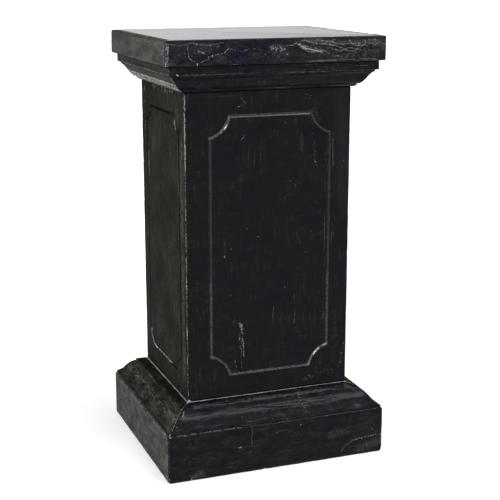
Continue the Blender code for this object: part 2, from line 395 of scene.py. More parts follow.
# one mark: width in millimetres, strength from 0 to 1, the level of noise under which it is broken off,
# and its chain of places, which are (x, z) in millimetres on the front and (y, z) on the left
def mark(width, strength, broken, *chain, kind="pale"):
    return {"width": width, "strength": strength, "broken": broken, "chain": chain, "kind": kind}


slabMarks = {
    "paleVein": mark(1.2, 0.55, 0.49, (-189, 898), (-190, 881), (-186, 866), (-172, 857)),
    "veinFoot": mark(1.2, 0.9, 0.35, (-169, 856), (-169, 851)),
    "thread": mark(1.4, 0.95, 0.52, (-149, 866), (-134, 871), (-118, 872), (-109, 878), (-106, 885)),
    "lowThread": mark(1.0, 0.45, 0.5, (-164, 856), (-134, 869)),
    "patch": mark(3.0, 0.3, 0.44, (-167, 878), (-155, 874)),
    "dots": mark(1.4, 0.7, 0.52, (-144, 888), (-130, 885), (-117, 889)),
    "bloom": mark(3.6, 0.06, 0.36, (-226, 893), (-206, 889), (-180, 894), (-150, 889), (-118, 893)),
    "feather": mark(1.4, 0.65, 0.48, (-18, 878), (-4, 886), (-8, 876), (5, 883), (2, 873), (12, 880)),
    "featherHaze": mark(9.0, 0.16, 0.5, (-20, 884), (8, 880)),
    "featherLine": mark(1.2, 0.6, 0.46, (14, 884), (26, 885), (37, 890)),
    "leadingLine": mark(1.1, 0.3, 0.5, (-104, 882), (-80, 876), (-56, 881), (-30, 876)),
    "brush": mark(5.0, 0.4, 0.42, (41, 886), (54, 878), (71, 873), (88, 870), (105, 867), kind="streaky"),
    "brushCore": mark(2.4, 0.45, 0.38, (42, 886), (56, 879), (74, 875), (90, 871)),
    "brushOver": mark(1.2, 0.5, 0.46, (43, 889), (60, 882), (76, 879), (92, 873), (104, 871)),
    "brushUnder": mark(1.3, 0.4, 0.5, (46, 881), (57, 874), (74, 869)),
    "crest": mark(1.3, 0.34, 0.4, (40, 893), (58, 893), (75, 888), (97, 887), (119, 883), (136, 877)),
    "crestOver": mark(1.4, 0.3, 0.4, (79, 895), (105, 891), (136, 884), (160, 887), (190, 880)),
    "crestUnder": mark(1.1, 0.26, 0.42, (100, 880), (128, 872), (150, 878), (176, 874)),
    "arc": mark(1.0, 0.5, 0.48, (168, 894), (171, 882), (178, 876)),
    "specks": mark(2.2, 0.9, 0.6, (134, 862), (163, 873), (217, 869)),
    "specksLow": mark(2.0, 0.8, 0.62, (140, 858), (160, 862), (176, 860)),
    "rightHaze": mark(9.0, 0.045, 0.36, (60, 893), (110, 890), (160, 888), (205, 889), (224, 880)),
    "curl": mark(1.1, 0.32, 0.38, (150, 892), (160, 884), (176, 880), (188, 886), (184, 893)),
    "hook": mark(1.0, 0.34, 0.38, (192, 893), (196, 885), (208, 882), (216, 888)),
    "wander": mark(1.0, 0.24, 0.4, (52, 896), (66, 888), (84, 893), (104, 891), (118, 895)),
    "underCurl": mark(1.0, 0.22, 0.42, (112, 876), (126, 868), (140, 874), (158, 870), (170, 876)),
    "brushTail": mark(3.4, 0.8, 0.58, (104, 867), (118, 862), (134, 860)),
    "wornCorner": mark(5.0, 0.42, 0.46, (-229, 893), (-229, 853)),
    "wornRight": mark(3.6, 0.45, 0.54, (200, 893), (226, 886), (227, 870)),
    "lowStreaks": mark(3.0, 0.14, 0.5, (40, 855), (210, 853), kind="streaky"),
    "underArris": mark(2.4, 0.8, 0.2, (-226, 896), (230, 896), kind="shadeAndGrime"),
}
slabLeftMarks = {
    "backShade": mark(18.0, 0.45, 0.34, (205, 884), (140, 890), (40, 893), kind="shadeAndGrime"),
    "topLine": mark(3.4, 0.8, 0.34, (-60, 897), (205, 897), kind="shadeAndGrime"),
    "frontRub": mark(6.0, 0.16, 0.44, (-199, 892), (-199, 856)),
    "headRub": mark(5.0, 0.12, 0.46, (-200, 894), (-70, 893)),
    "footRub": mark(2.4, 0.14, 0.48, (-200, 853), (60, 853)),
    # footLine is painted shade: the shadow gap where the slab meets the cornice below it
    "footLine": mark(3.0, 0.6, 0.4, (40, 853), (205, 853), kind="shadeAndGrime"),
}
corniceMarks = {
    "filletChip": mark(1.8, 0.8, 0.3, (-208, 834), (-205, 832)),
    "rub": mark(2.2, 0.1, 0.4, (-201, 832), (-150, 832)),
    "rubBeside": mark(1.8, 0.06, 0.42, (-150, 832), (60, 832), kind="streaky"),
    "rightStreak": mark(1.0, 0.17, 0.49, (60, 845), (205, 846), kind="streaky"),
    "lowerStreak": mark(1.0, 0.16, 0.51, (90, 840), (205, 840), kind="streaky"),
    "thirdStreak": mark(1.0, 0.11, 0.5, (40, 836), (205, 836), kind="streaky"),
    "edgeStreak": mark(1.2, 0.12, 0.46, (20, 831), (200, 831), kind="streaky"),
    "rollStreak": mark(1.4, 0.14, 0.5, (-70, 799), (180, 799), kind="streaky"),
}
corniceLeftMarks = {
    # painted shade: underSlab is the shadow line under the slab, riserLine the dark line in the crease at the
    # riser, and filletBand darkens the fillet, partly as shade under the slab and partly as a duller, browner
    # surface
    "underSlab": mark(5.0, 0.85, 0.25, (-200, 848), (200, 848), kind="shadeAndGrime"),
    "filletBand": mark(7.0, 0.6, 0.4, (-200, 838), (200, 838), kind="shadeAndGrime"),
    "riserLine": mark(3.0, 0.8, 0.25, (-196, 828), (196, 828), kind="shadeAndGrime"),
    # ridge and ridgeEdge are partly scrapes and partly a painted reflection, the bright band where the
    # curve's lip catches the light
    "ridge": mark(11.0, 0.7, 0.42, (-170, 803), (180, 805)),
    "ridgeEdge": mark(3.4, 0.8, 0.4, (-190, 811), (190, 813)),
    "filletEdge": mark(2.0, 0.3, 0.44, (-190, 832), (190, 832)),
    "endChip": mark(3.0, 0.6, 0.4, (190, 840), (196, 833)),
}
shaftMarks = {
    "blob": mark(5.0, 0.45, 0.44, (-64, 309), (-60, 296)),
    "strandLeft": mark(1.3, 0.4, 0.49, (-63, 293), (-66, 272), (-63, 251)),
    "strandRight": mark(1.7, 0.55, 0.47, (-60, 292), (-57, 265), (-56, 235)),
    "strandMiddle": mark(1.0, 0.28, 0.46, (-61, 280), (-60, 250), (-62, 238)),
    "strandFoot": mark(1.3, 0.32, 0.44, (-76, 230), (-74, 214)),
    "strandTail": mark(1.2, 0.22, 0.46, (-62, 226), (-60, 210)),
    "lineBesideStrand": mark(1.2, 0.16, 0.46, (-98, 486), (-97, 452)),
    "leftDots": mark(9.0, 0.34, 0.64, (-164, 690), (-150, 640), (-158, 560)),
    "lowDots": mark(9.0, 0.34, 0.64, (-150, 330), (-110, 310), (-90, 330)),
    "rightDots": mark(9.0, 0.4, 0.63, (150, 330), (158, 250), (150, 200)),
    "dash": mark(1.8, 0.12, 0.36, (-54, 704), (-61, 695)),
    "dot": mark(1.2, 0.6, 0.2, (-98, 457), (-98, 455)),
    "hairHigh": mark(1.1, 0.11, 0.5, (-21, 684), (-18, 626)),
    "hairLow": mark(1.2, 0.18, 0.44, (12, 340), (8, 312)),
    "hairRight": mark(1.2, 0.16, 0.44, (60, 322), (58, 294)),
    "softPatch": mark(7.0, 0.03, 0.42, (70, 700), (72, 668)),
    "dashesRight": mark(4.0, 0.22, 0.54, (98, 684), (104, 634)),
    "besideLine": mark(1.3, 0.1, 0.48, (126, 690), (126, 300), kind="streaky"),
    "beyondLine": mark(1.6, 0.09, 0.5, (142, 700), (143, 420), kind="streaky"),
    "headSpecks": mark(6.0, 0.8, 0.59, (-66, 763), (-50, 771)),
    "headBloom": mark(16.0, 0.2, 0.58, (84, 777), (104, 730)),
    "rub": mark(2.0, 0.04, 0.44, (-130, 784), (-60, 786)),
    "rightHaze": mark(34.0, 0.01, 0.38, (160, 775), (170, 560)),
    "footSpecks": mark(7.0, 0.7, 0.6, (84, 168), (132, 184), (158, 175)),
    "dotRight": mark(5.0, 0.6, 0.6, (174, 241), (168, 189)),
    "footChip": mark(4.0, 1.0, 0.2, (-182, 152), (-177, 152)),
    "arrisLine": mark(1.8, 0.6, 0.36, (-180, 788), (-180, 640)),
    "arrisDots": mark(1.6, 0.4, 0.48, (-180, 640), (-180, 165)),
}
cutMarks = {
    "head": mark(2.6, 0.09, 0.34, (-86, 742.4), (92, 742.4)),
    "headRight": mark(2.4, 0.17, 0.36, (10, 742.4), (90, 742.4)),
    "headOver": mark(1.6, 0.1, 0.44, (-86, 746.2), (60, 746.2)),
    "foot": mark(6.0, 0.1, 0.42, (-88, 200), (94, 200)),
    "left": mark(4.0, 0.035, 0.52, (-128, 702), (-128, 400)),
    "leftLow": mark(5.0, 0.08, 0.44, (-128, 400), (-128, 242)),
    "right": mark(3.0, 0.03, 0.54, (134, 702), (134, 400)),
    "rightLow": mark(5.0, 0.08, 0.46, (134, 400), (134, 242)),
    # the scoop marks are partly dust in the cut, and the upper-left and lower-right ones are also painted
    # highlight, paler than the other two where the lamps catch them
    "headScoop": mark(6.0, 0.11, 0.26, (-129, 702), (-112, 708), (-95, 722), (-86, 744)),
    "rightScoop": mark(2.2, 0.06, 0.44, (93, 738), (106, 719), (122, 706), (134, 702)),
    "leftScoop": mark(5.0, 0.09, 0.38, (-128, 242), (-112, 236), (-97, 222), (-88, 202)),
    "leftScoopEnd": mark(5.0, 0.14, 0.34, (-129, 243), (-120, 240)),
    # painted highlights: the lamps' glints in the lower-right and upper-left scoops of the cut
    "footPaintedHighlight": mark(4.6, 0.55, 0.34, (116, 233), (105, 221)),
    "headPaintedHighlight": mark(4.2, 0.24, 0.3, (-105, 712), (-93, 730)),
    "footScoop": mark(6.0, 0.13, 0.32, (134, 242), (118, 236), (103, 222), (94, 202)),
    "footScoopEnds": mark(6.0, 0.3, 0.34, (134, 242), (128, 240)),
    "footScoopFoot": mark(6.0, 0.22, 0.34, (98, 208), (92, 200)),
}
shaftLeftMarks = {
    # footLine is a painted highlight along the cut's lower line and up its lower-right scoop, where light
    # falls on this face
    "footLine": mark(2.6, 0.75, 0.4, (-40, 200), (82, 200), (94, 207), (106, 219), (115, 233)),
    "headDash": mark(2.2, 0.6, 0.36, (-84, 742), (-88, 724), (-98, 714)),
    "headScrapes": mark(12.0, 0.3, 0.55, (-110, 786), (60, 790)),
    "frontLine": mark(1.4, 0.35, 0.46, (-150, 785), (-150, 660)),
    "frontBand": mark(16.0, 0.07, 0.4, (-132, 700), (-132, 200)),
    "backDash": mark(3.0, 0.4, 0.44, (105, 640), (104, 590)),
    "backRub": mark(8.0, 0.3, 0.52, (130, 780), (128, 690)),
}
baseMarks = {
    # painted reflections: the two soft bluish bands of light along the ledge's edge and the upper part of the
    # curve, broken by scratches
    "ledgePaintedReflection": mark(3.0, 0.09, 0.36, (-175, 144), (175, 144), kind="streaky"),
    "curvePaintedReflection": mark(9.0, 0.07, 0.4, (-205, 130), (205, 130), kind="streaky"),
    "mitreChip": mark(2.0, 0.6, 0.45, (-196, 140), (-203, 134), (-200, 131)),
    "speckle": mark(9.0, 0.8, 0.61, (20, 130), (44, 133), (60, 131)),
    "drip": mark(2.6, 0.6, 0.54, (61, 144), (62, 128), (67, 114)),
    "speckRight": mark(2.6, 0.7, 0.56, (132, 136), (136, 128), (146, 120)),
    "rightRub": mark(6.0, 0.1, 0.44, (175, 146), (196, 138)),
}
baseLeftMarks = {
    # painted shade: drop darkens the ledge for its dim reflection, and toeLine is the dark line in the crease
    # at the toe against the plinth
    "drop": mark(7.0, 0.8, 0.15, (-176, 147), (176, 147), kind="shadeAndGrime"),
    "curveRub": mark(9.0, 0.14, 0.5, (-200, 128), (200, 128)),
    "toeLine": mark(3.0, 0.6, 0.3, (-212, 107), (212, 107), kind="shadeAndGrime"),
}
plinthMarks = {
    "toeLine": mark(1.4, 0.4, 0.46, (-240, 103.4), (-84, 103.4)),
    "toeLineRight": mark(1.2, 0.06, 0.42, (-84, 103.4), (238, 103.4)),
    "twistedVein": mark(1.6, 1.0, 0.52, (166, 33), (171, 37), (204, 41), (243, 42)),
    "beads": mark(3.0, 1.0, 0.6, (182, 39), (196, 41), (210, 40), (226, 43)),
    "branch": mark(4.0, 0.055, 0.42, (171, 37), (154, 26), (145, 16)),
    "upright": mark(1.8, 0.09, 0.38, (-61, 104), (-61, 84), (-62, 60)),
    "curve": mark(1.2, 0.4, 0.54, (-9, 78), (0, 84), (12, 84), (29, 77)),
    "speck": mark(1.5, 0.6, 0.44, (-90, 60), (-84, 59)),
    "footChip": mark(2.6, 0.5, 0.3, (-195, 5), (-193, 1)),
    "footPatch": mark(14.0, 0.07, 0.44, (-190, 10), (-172, 14)),
    "rightPatch": mark(16.0, 0.05, 0.46, (120, 58), (160, 60)),
    "rightCorner": mark(18.0, 0.05, 0.44, (190, 16), (236, 26)),
}
plinthLeftMarks = {
    "topRub": mark(6.0, 0.14, 0.46, (-205, 98), (205, 98)),
    "frontRub": mark(8.0, 0.12, 0.48, (-210, 92), (-210, 10)),
    # footLine is a painted contact shadow where the plinth stands on the floor
    "footLine": mark(4.0, 0.8, 0.3, (-214, 2), (214, 2), kind="shadeAndGrime"),
}

finish = {
    "slab": [
        blackMarble(
            "polishedSlabMarble",
            dict(polished, ground="#0b0a15", cloud="#101112", cloudLean=1.1, veilShare=0.38, hazeShare=0.07,
                 veinAndHighlight="#b0afb1", bedTurn=12.0, bedLength=(7.0, 7.0, 1.0), bedGap=9, bend=0.14), slabMarks,
        ),
        blackMarble(
            "honedSlabMarble",
            dict(honed, film="#5c5953", ground="#151413", patchSize=50, grainSize=3.5, grainShare=0.8,
                 filmRun=(1.0, 0.6, 1.6), scratches=0.12, strokeRun=(1.0, 0.06, 1.0)),
            slabLeftMarks, "left",
        ),
        blackMarble(
            "wipedTopMarble",
            dict(polished, filmRun=(0.12, 0.5, 1.0), patchSize=30, veilShare=0.0, hazeShare=0.0,
                 speckShare=0.0, scratches=0.0, uneven=0.006, filmShare=0.10, bump=0.0, roughness=0.2), {},
        ),
    ],
    "cornice": [
        blackMarble(
            "polishedCorniceMarble",
            dict(polished, ground="#0e0c12", cloud="#0f0e10", veinAndHighlight="#acabaf", speckGap=21, specular=0.04),
            corniceMarks,
        ),
        blackMarble(
            "dulledCorniceMarble",
            dict(dulled, film="#4f4c44", ground="#171512", filmRun=(1.0, 0.4, 1.0), roughness=0.6,
                 strokeRun=(1.0, 0.06, 1.0), filmLean=0.1, filmSpread=0.2, grainRun=(1.0, 0.4, 1.0)),
            corniceLeftMarks, "left",
        ),
    ],
    "shaft": [
        blackMarble(
            "polishedShaftMarble",
            dict(polished, ground="#0b090f", cloud="#0c0c0d", bedLength=(1.0, 1.0, 5.0), veilShare=0.03,
                 hazeShare=0.0, film="#151416", stainShare=0.15, strokeRun=(1.0, 1.0, 0.045), speckGap=12,
                 speckShare=0.36), shaftMarks,
        ),
        blackMarble("dulledShaftMarble", dulled, shaftLeftMarks, "left"),
    ],
    "base": [
        blackMarble(
            "polishedBaseMarble",
            dict(polished, veinAndHighlight="#b1b0ba", film="#28272d", filmShare=0.30, filmSpread=0.12, grainShare=1.0,
                 patchSize=10, hazeShare=0.04, scratches=0.10, roughness=0.34, uneven=0.10, specular=0.032,
                 bump=0.15, speckGap=11, speckShare=0.5), baseMarks,
        ),
        blackMarble(
            "dulledBaseMarble",
            dict(dulled, film="#3d3b35", stain="#0e0b12", filmLean=0.1, filmSpread=0.2, patchSize=24,
                 filmRun=(1.0, 0.4, 1.0), grainRun=(1.0, 0.3, 1.0), strokeRun=(1.0, 0.06, 1.0)),
            baseLeftMarks, "left",
        ),
    ],
    "plinth": [
        blackMarble("polishedPlinthMarble", dict(polished, hazeShare=0.03), plinthMarks),
        blackMarble(
            "honedPlinthMarble", dict(honed, film="#545251", filmLean=0.1, filmSpread=0.21),
            plinthLeftMarks, "left",
        ),
    ],
}

# the cut line: on the front and the back its walls keep a sharper polish than the faces round them, and
# on the sides they are as dull as those
cutMarbles = [
    blackMarble(
        "polishedCutMarble",
        dict(polished, ground="#0c0b0d", cloud="#0f0f0e", film="#1a1917", filmShare=0.4, veinAndHighlight="#b0afb4",
             roughness=0.19, uneven=0.0, specular=0.24, bump=0.0), cutMarks,
    ),
    blackMarble("dulledCutMarble", dict(dulled, film="#1c1915", specular=0.0), shaftLeftMarks, "left"),
]

# a rounded arris lies about 0.3 of its radius in from the sharp one; wear is in millimetres, and each
# metre of a chip's depth counts as 900 of them
arrisInset, chipWear, curveSteps = 0.3, 900, 26


# a squared block: flat underside, eased lower arris, upright side, eased upper arris, flat top
def blockProfile(height, ease, rows):
    side = np.linspace(ease, height - ease, rows + 1)[1:-1]
    flat = np.array([0.014, 0.006, ease + 0.0012])
    under = np.stack([-flat, flat * 0], axis=1)
    lower = arc((-ease, ease), ease, -90, 0, 6)
    upright = np.stack([side * 0, side], axis=1)
    upper = arc((-ease, height - ease), ease, 0, 90, 6)
    over = np.stack([-flat[::-1], flat * 0 + height], axis=1)
    return np.concatenate([under, lower, upright, upper, over])


# how far inside the wear of its nearest arris a point lies, in millimetres: each arris's wear, uneven
# along its length and leaning to the left, less the distance to it, and the largest of these
def wornField(points, distances, wears, look):
    uneven = np.clip(0.8 + look["wearRipple"] * ripple(points, 0.035, look["seed"] + 2), 0.2, None)
    uneven = uneven * np.clip(1 - look["lean"] * points[..., 0] / 0.2, 0.1, 2)
    fields = [wear * uneven - 1000 * distance for distance, wear in zip(distances, wears)]
    return np.maximum.reduce(fields)


# carries a profile of (reach, height) round a rectangle: every level is a rounded outline, and the
# surface then sinks along its normal by hand-rubbed waves near the arrises and by chips
def carvedRings(name, node, profile, arrises, look, half, materials):
    low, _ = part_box(node)
    reach, height = profile[:, 0], profile[:, 1]
    radius = np.full(len(reach), look["corner"])
    cornerSteps = 6
    outline, toCorner = roundedOutline(
        half[0] + reach, half[1] + reach, radius, look["sideSteps"], cornerSteps
    )
    grid = np.concatenate([outline, np.broadcast_to(height[:, None, None], (*outline.shape[:2], 1))], axis=-1)
    grid = grid + np.array([0, 0, low.z])
    along = [alongProfile(profile, [place])[:, None] for place, _ in arrises]
    toLevels = [np.broadcast_to(distance, toCorner.shape) for distance in along]
    toArris = np.minimum.reduce([toCorner, *toLevels])
    normal = gridNormals(grid)
    nearArris = 1 - smoothStep(0, look["waveReach"], toArris)
    wave = look["wave"] * nearArris * (0.5 + 0.5 * ripple(grid, look["waveLength"], look["seed"]))
    chips = chipDepth(grid, toArris, look)
    wears = [look["cornerWear"], *(wear for _, wear in arrises)]
    worn = wornField(grid, [toCorner, *toLevels], wears, look)
    grid = grid - normal * (np.clip(wave, 0, None) + chips)[..., None]
    levels, around = grid.shape[:2]
    # a corner has the material of the front or the back that it joins
    quarter, place = np.divmod(np.arange((levels - 1) * around) % around, look["sideSteps"] + cornerSteps)
    side = quarter % 2 * (place < look["sideSteps"])
    # the flat top has the third material, where there is one
    slots = np.concatenate([side, [0, len(materials) // 3 * 2]])
    addPiece(name, node, grid, ringFaces(levels, around), slots, worn + chipWear * chips, materials)


# a squared block on its CAD body: the block's profile carried round the box, with its two level arrises
# an arrisInset of the easing in from the sharp ones
def buildBlock(name, node, box, look, materials):
    low, high = box
    height = high.z - low.z
    profile = blockProfile(height, look["ease"], look["rows"])
    inward = arrisInset * look["ease"]
    arrises = [((-inward, inward), look["footWear"]), ((-inward, height - inward), look["topWear"])]
    carvedRings(name, node, profile, arrises, look, (high.x, high.y), materials)


plinth = {
    "ease": 0.0060, "corner": 0.0048, "rows": 18, "sideSteps": 150,
    "wave": 0.0006, "waveReach": 0.012, "waveLength": 0.045,
    "chips": 46, "chipSize": 0.006, "chipDepth": 0.0016, "cornerWear": 0.2, "footWear": 0.2, "topWear": -0.2,
    "wearRipple": 0.35, "lean": 0.7, "seed": 11,
}

buildBlock("plinthBlock", "plinth_block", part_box("plinth_block"), plinth, finish["plinth"])

slab = {
    "ease": 0.0026, "corner": 0.004, "rows": 12, "sideSteps": 150,
    "wave": 0.0007, "waveReach": 0.010, "waveLength": 0.040,
    "chips": 40, "chipSize": 0.005, "chipDepth": 0.0012, "cornerWear": 0.3, "footWear": -0.2, "topWear": -0.1,
    "wearRipple": 0.7, "lean": 0.3, "seed": 21,
}

buildBlock("topSlab", "top_slab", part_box("top_slab"), slab, finish["slab"])

baseMoulding = {
    "toe": 0.0025, "ledge": 0.0220, "ledgeFall": 0.0065, "drop": 0.0050, "quirk": 0.0030, "sway": 0.42,
    "setBack": 0.0028, "ledgeEase": 0.0009, "corner": 0.0014, "sideSteps": 150,
    "wave": 0.0003, "waveReach": 0.006, "waveLength": 0.05,
    "chips": 40, "chipSize": 0.005, "chipDepth": 0.0010, "cornerWear": 0.5, "toeWear": -0.8,
    "ledgeWear": -0.3, "jointWear": 1.7, "wearRipple": 0.25, "lean": 0.25, "seed": 31,
}


# toe on the plinth, double curve, quirk, short drop and the sloping ledge up to the shaft
def buildBaseMoulding(look):
    low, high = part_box("base_moulding")
    _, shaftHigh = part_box("shaft")
    height = high.z - low.z
    toe = high.x - shaftHigh.x - look["setBack"]
    ledgeEdge = height - look["ledgeFall"]
    dropFoot = ledgeEdge - look["drop"]
    curveTop = (look["ledge"] + look["quirk"], dropFoot)
    curve = doubleCurve((toe, look["toe"]), curveTop, look["sway"], curveSteps)
    ease = look["ledgeEase"]
    quirk = np.array([[look["ledge"], dropFoot + look["quirk"] / 4], [look["ledge"], ledgeEdge - 2 * ease]])
    edge = arc((look["ledge"] - ease, ledgeEdge - ease), ease, 0, 75, 4)
    ledge = np.linspace([look["ledge"] - 2 * ease, ledgeEdge + 0.5 * ease], [0.0, height], 6)
    under = np.array([[toe - 0.014, 0.0], [toe - 0.004, 0.0], [toe - 0.0006, 0.0], [toe, 0.0006]])
    over = np.array([[-0.003, height], [-0.010, height]])
    profile = np.concatenate([under, curve, quirk, edge, ledge, over])
    arrises = [((toe, look["toe"]), look["toeWear"]), ((look["ledge"], ledgeEdge), look["ledgeWear"]),
               ((0.0, height), look["jointWear"])]
    half = (shaftHigh.x, shaftHigh.y)
    carvedRings("baseMoulding", "base_moulding", profile, arrises, look, half, finish["base"])


buildBaseMoulding(baseMoulding)

cornice = {
    "lip": 0.0104, "filletHeight": 0.0185, "filletStep": 0.0060, "filletEase": 0.0020, "riser": 0.0035,
    "rollReach": 0.0098, "rollHeight": 0.0070, "rollQuirk": 0.0035, "sway": 0.42,
    "corner": 0.0014, "sideSteps": 150,
    "wave": 0.0003, "waveReach": 0.006, "waveLength": 0.05,
    "chips": 30, "chipSize": 0.005, "chipDepth": 0.0010, "cornerWear": 0.1, "filletWear": -0.5,
    "riserWear": -0.6, "wearRipple": 0.7, "lean": 0.2, "seed": 41,
}


# small roll on the shaft, double curve, riser and flat fillet up to the slab
def buildCornice(look):
    low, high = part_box("cornice_moulding")
    _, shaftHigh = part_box("shaft")
    height = high.z - low.z
    fillet = high.x - shaftHigh.x
    filletFoot = height - look["filletHeight"]
    riser = fillet - look["filletStep"]
    angle = np.radians(np.linspace(-90, 0, 9))
    roll = np.stack([look["rollReach"] * np.cos(angle), look["rollHeight"] * (1 + np.sin(angle))], axis=1)
    curve = doubleCurve(
        (look["rollReach"] + look["rollQuirk"], look["rollHeight"]),
        (riser, filletFoot - look["riser"]), look["sway"], curveSteps,
    )
    ease = look["filletEase"]
    step = np.array([[riser, filletFoot]])
    edge = arc((fillet - ease, filletFoot + ease), ease, -90, 0, 5)
    face = np.linspace([fillet, filletFoot + 2 * ease], [fillet, height - 0.0006], 6)
    over = np.array([[fillet - 0.0006, height], [fillet - 0.004, height], [fillet - 0.014, height]])
    under = np.array([[-0.010, 0.0], [-0.003, 0.0]])
    profile = np.concatenate([under, roll, curve, step, edge, face, over])
    inward = arrisInset * ease
    arrises = [((fillet - inward, filletFoot + inward), look["filletWear"]),
               ((riser, filletFoot - look["riser"]), look["riserWear"])]
    half = (shaftHigh.x, shaftHigh.y)
    carvedRings("corniceMoulding", "cornice_moulding", profile, arrises, look, half, finish["cornice"])


buildCornice(cornice)

shaft = {
    "ease": 0.0012, "margin": 0.050, "scoop": 0.042, "sideMargin": 0.039, "sideScoop": 0.033,
    "scoopTurn": 64.0, "frontShift": 0.003,
    "grooveWidth": 0.0064, "grooveDepth": 0.0022, "floorRound": 0.06,
    "uprightSteps": 130, "levelSteps": 44, "scoopSteps": 26,
    "wave": 0.0004, "waveReach": 0.006, "waveLength": 0.05,
    "chips": 60, "chipSize": 0.004, "chipDepth": 0.0010,
    "uprightWear": 0.45, "footWear": 0.2, "headWear": -0.5, "rimWear": -0.6, "wearRipple": 0.7, "lean": 0.4,
    "seed": 51,
}


# turns points of a plane by right angles: each turn makes (x, y) into (-y, x)
def quarterTurn(x, y, quarter):
    for _ in range(quarter):
        x, y = -y, x
    return np.stack([x, y], axis=1)


# the panel line shifted inward by d: four straight sides and four arcs that turn through scoopTurn, so
# their centres lie outside the corners. Side and arc meet where the shifted side crosses the circle.
def panelRing(halfWidth, halfHeight, scoop, d, look):
    halfTurn = math.radians(look["scoopTurn"] / 2)
    radius = scoop / (math.sqrt(2) * math.sin(halfTurn))
    outside = (radius * math.cos(halfTurn) - scoop / math.sqrt(2)) / math.sqrt(2)
    radius += d
    slip = math.asin((d + outside) / radius)
    meet = radius * math.cos(slip) - outside
    turn = np.linspace(slip, math.pi / 2 - slip, look["scoopSteps"] + 1)
    sides = []
    for quarter in range(4):
        wide, tall = (halfWidth, halfHeight) if quarter % 2 == 0 else (halfHeight, halfWidth)
        steps = look["levelSteps"] if quarter % 2 == 0 else look["uprightSteps"]
        run = np.linspace(meet - wide, wide - meet, steps + 1)[:-1]
        x = np.concatenate([run, (wide + outside - radius * np.cos(turn))[:-1]])
        y = np.concatenate([run * 0 + d - tall, (radius * np.sin(turn) - tall - outside)[:-1]])
        sides.append(quarterTurn(x, y, quarter))
    return np.concatenate(sides)


# the places of the points along one side, from corner to corner: half a scoop's points at each end.
# They are the same on all faces, so that the points of two faces meet on their arris.
def sideRun(wide, look, steps=None):
    ends, half = look["margin"] + look["scoop"], look["scoopSteps"] // 2
    steps = steps or look["levelSteps"]
    before = np.linspace(-wide, ends - wide, half + 1)[:-1]
    middle = np.linspace(ends - wide, wide - ends, steps + 1)[:-1]
    after = np.linspace(wide - ends, wide, half + 1)[:-1]
    return np.concatenate([before, middle, after])


# a plain rectangle whose points pair with the panel line's
def frameRing(halfWidth, halfHeight, inset, look):
    sides = []
    for quarter in range(4):
        wide, tall = (halfWidth, halfHeight) if quarter % 2 == 0 else (halfHeight, halfWidth)
        steps = look["levelSteps"] if quarter % 2 == 0 else look["uprightSteps"]
        run = sideRun(wide, look, steps) * (wide - inset) / wide
        sides.append(quarterTurn(run, np.full(len(run), inset - tall), quarter))
    return np.roll(np.concatenate(sides), -(look["scoopSteps"] // 2), axis=0)


# moves a point on a sharp-edged box to the same box with rounded arrises: clamp it to the box drawn
# in by the radius, then go out by the radius towards where it was
def easeBox(points, half, middle, radius):
    offset = points - middle
    core = np.clip(offset, -(half - radius), half - radius)
    out = offset - core
    length = np.maximum(np.linalg.norm(out, axis=-1, keepdims=True), 1e-12)
    return middle + core + radius * out / length


# one face of the shaft as rings: the frame, then across the groove, then in to the panel's middle.
# Gives the rings, how deep each lies, how far each is from a rim, and which bands are the groove's.
def panelFace(halfWidth, halfHeight, margin, scoop, shift, look):
    ease, groove = look["ease"], look["grooveWidth"] / 2
    shift = np.array([shift, 0])
    panelWide, panelTall = halfWidth - margin, halfHeight - look["margin"]
    insets = [0, 0.35 * ease, 0.7 * ease, ease, 2.2 * ease, 0.006, 0.014]
    rings = [frameRing(halfWidth, halfHeight, inset, look) for inset in insets]
    places = [-1.0] * len(insets)
    outer = panelRing(panelWide, panelTall, scoop, -groove - 0.004, look) + shift
    for share in (0.35, 0.7, 0.92):
        rings.append(rings[len(insets) - 1] * (1 - share) + outer * share)
        places.append(-1.0)
    # places across the cut in half widths, the same on both sides of its middle line
    wall = np.array([0.22, 0.55, 0.85, 1.0, 1.12, 1.35, 2.1])
    across = np.concatenate([-wall[::-1], [0], wall])
    for d in across * groove:
        rings.append(panelRing(panelWide, panelTall, scoop, d, look) + shift)
        places.append(d)
    for share in (0.94, 0.8, 0.6, 0.4, 0.2, 0.05):
        rings.append(panelRing(panelWide, panelTall, scoop, across[-1] * groove, look) * share + shift)
        places.append(1.0)
    # the cut is a V with a narrow flat floor: an even ramp of the distance from its middle line
    sunk = 1 - np.abs(np.array(places)) / groove
    depths = look["grooveDepth"] * np.clip(sunk, 0, 1 - look["floorRound"]) / (1 - look["floorRound"])
    rims = np.abs(np.abs(np.array(places)) - groove)
    inside = np.abs(np.array(places)) < 1.01 * groove
    return np.array(rings), depths, rims, inside[1:] & inside[:-1]


